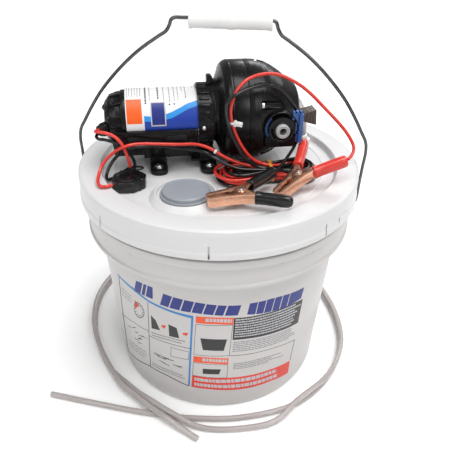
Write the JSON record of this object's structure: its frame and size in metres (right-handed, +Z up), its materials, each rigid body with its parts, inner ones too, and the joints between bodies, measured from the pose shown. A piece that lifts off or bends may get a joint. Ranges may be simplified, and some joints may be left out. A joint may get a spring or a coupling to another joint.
{
  "type": "fluid transfer pump",
  "caption": "Twelve-volt diaphragm pump on the press-on lid of a plastic pail with a wire bail, with clip leads, an inline fuse holder, a slide-clip inlet port and a loose suction tube.",
  "frame": {"origin": "centre of the pail's foot, on the floor", "axes": "+Z up, X along the pivots of the carrying bail, -Y towards the front, where the clip leads and the inlet port are"},
  "size_m": [0.3655, 0.3832, 0.4207],
  "materials": {
    "copper_winding": "varnished winding",
    "white_nylon": "satin",
    "zinc_wire": "dull zinc plate",
    "black_nylon": "satin moulded nylon",
    "copper_plate": "bright copper plate",
    "black_vinyl": "glossy PVC",
    "steel": "bright",
    "blue_fuse": "glossy",
    "black_rubber": "matt moulded rubber",
    "clear_vinyl": "clear PVC",
    "blue_nylon": "satin",
    "grey_acetal": "satin",
    "red_vinyl": "glossy PVC",
    "lid_white": "semi-gloss moulded polyethylene",
    "ferrite": "matt",
    "motor_label": "glossy printed wrap",
    "pail_white": "semi-gloss moulded polyethylene",
    "brown_phenolic": "satin",
    "grey_cap": "satin moulded polyethylene"
  },
  "bodies": {
    "pail": {"pail": "pail_white", "suction_tube": "clear_vinyl"},
    "lid": {"base_cradle": "black_nylon", "black_clip_back_lever": "copper_plate", "black_clip_back_sleeve": "black_vinyl", "black_clip_pin": "steel", "black_clip_spring": "steel", "black_lead_loop": "black_vinyl", "black_lead_run": "black_vinyl", "blade_fuse": "blue_fuse", "diaphragm": "black_rubber", "discharge_hose": "clear_vinyl", "drive_housing": "black_nylon", "foot_bush_front_left": "black_rubber", "foot_bush_front_right": "black_rubber", "foot_bush_rear_left": "black_rubber", "foot_bush_rear_right": "black_rubber", "foot_screw_front_left": "steel", "foot_screw_front_right": "steel", "foot_screw_rear_left": "steel", "foot_screw_rear_right": "steel", "front_bearing": "steel", "fuse_body": "black_rubber", "gear_housing": "black_nylon", "inlet_fitting": "grey_acetal", "lead_hank": "red_vinyl", "lid": "lid_white", "lid_gasket": "black_rubber", "lid_outlet": "white_nylon", "magnet_ring": "ferrite", "motor_can": "motor_label", "outlet_fitting": "grey_acetal", "pressure_switch": "brown_phenolic", "pump_head": "black_nylon", "rear_bearing": "steel", "rear_cover": "black_nylon", "red_clip_front_lever": "copper_plate", "red_clip_front_sleeve": "red_vinyl", "red_clip_pin": "steel", "red_clip_spring": "steel", "red_lead_loop": "red_vinyl", "red_lead_motor": "red_vinyl", "red_lead_run": "red_vinyl", "strain_relief": "black_rubber", "valve_plate": "grey_acetal", "wobble_plate": "grey_acetal"},
    "bail": {"bail_wire": "zinc_wire"},
    "grip": {"bail_grip": "white_nylon"},
    "cap": {"spout_cap": "grey_cap"},
    "switch": {"switch_button": "black_rubber"},
    "rotor": {"armature": "copper_winding", "eccentric_cam": "steel"},
    "inlet_clip": {"inlet_clip": "blue_nylon"},
    "outlet_clip": {"outlet_clip": "blue_nylon"},
    "fuse_cap": {"fuse_cap": "black_rubber"},
    "black_lever": {"black_clip_front_lever": "copper_plate", "black_clip_front_sleeve": "black_vinyl"},
    "red_lever": {"red_clip_back_lever": "copper_plate", "red_clip_back_sleeve": "red_vinyl"}
  },
  "joints": [
    {"name": "lid_lift", "type": "slide", "parent": "pail", "child": "lid", "axis": [0, 0, 1], "range_m": [0, 0.009]},
    {"name": "bail_swing", "type": "hinge", "parent": "pail", "child": "bail", "pos_m": [0, 0, 0.22], "axis": [1, 0, 0], "range_deg": [-125, 125]},
    {"name": "grip_turn", "type": "hinge", "parent": "bail", "child": "grip", "pos_m": [0.007, 0, 0.4136], "axis": [1, 0, 0], "continuous": true},
    {"name": "cap_pull", "type": "slide", "parent": "lid", "child": "cap", "axis": [0, 0, 1], "range_m": [0, 0.02]},
    {"name": "switch_press", "type": "slide", "parent": "lid", "child": "switch", "axis": [0.6237, 0.1555, -0.766], "range_m": [0, 0.0012], "stiffness_N_per_m": 800},
    {"name": "rotor_spin", "type": "hinge", "parent": "lid", "child": "rotor", "pos_m": [-0.04842, 0.00265, 0.3137], "axis": [0.9703, 0.2419, 0], "continuous": true},
    {"name": "inlet_clip_slide", "type": "slide", "parent": "lid", "child": "inlet_clip", "axis": [0.9703, 0.2419, 0], "range_m": [0, 0.0035]},
    {"name": "outlet_clip_slide", "type": "slide", "parent": "lid", "child": "outlet_clip", "axis": [0.9703, 0.2419, 0], "range_m": [0, 0.0035]},
    {"name": "fuse_cap_pull", "type": "slide", "parent": "lid", "child": "fuse_cap", "axis": [0.6293, 0.7771, 0], "range_m": [0, 0.007]},
    {"name": "black_clip_open", "type": "hinge", "parent": "lid", "child": "black_lever", "pos_m": [0.0309, -0.0953, 0.2762], "axis": [-0.047, -0.1017, 0.9937], "range_deg": [0, 18], "stiffness_Nm_per_rad": 0.6, "springref_deg": -20.05},
    {"name": "red_clip_open", "type": "hinge", "parent": "lid", "child": "red_lever", "pos_m": [0.0864, -0.0581, 0.2796], "axis": [0.239, 0.2121, -0.9476], "range_deg": [0, 18], "stiffness_Nm_per_rad": 0.6, "springref_deg": -20.05}
  ]
}
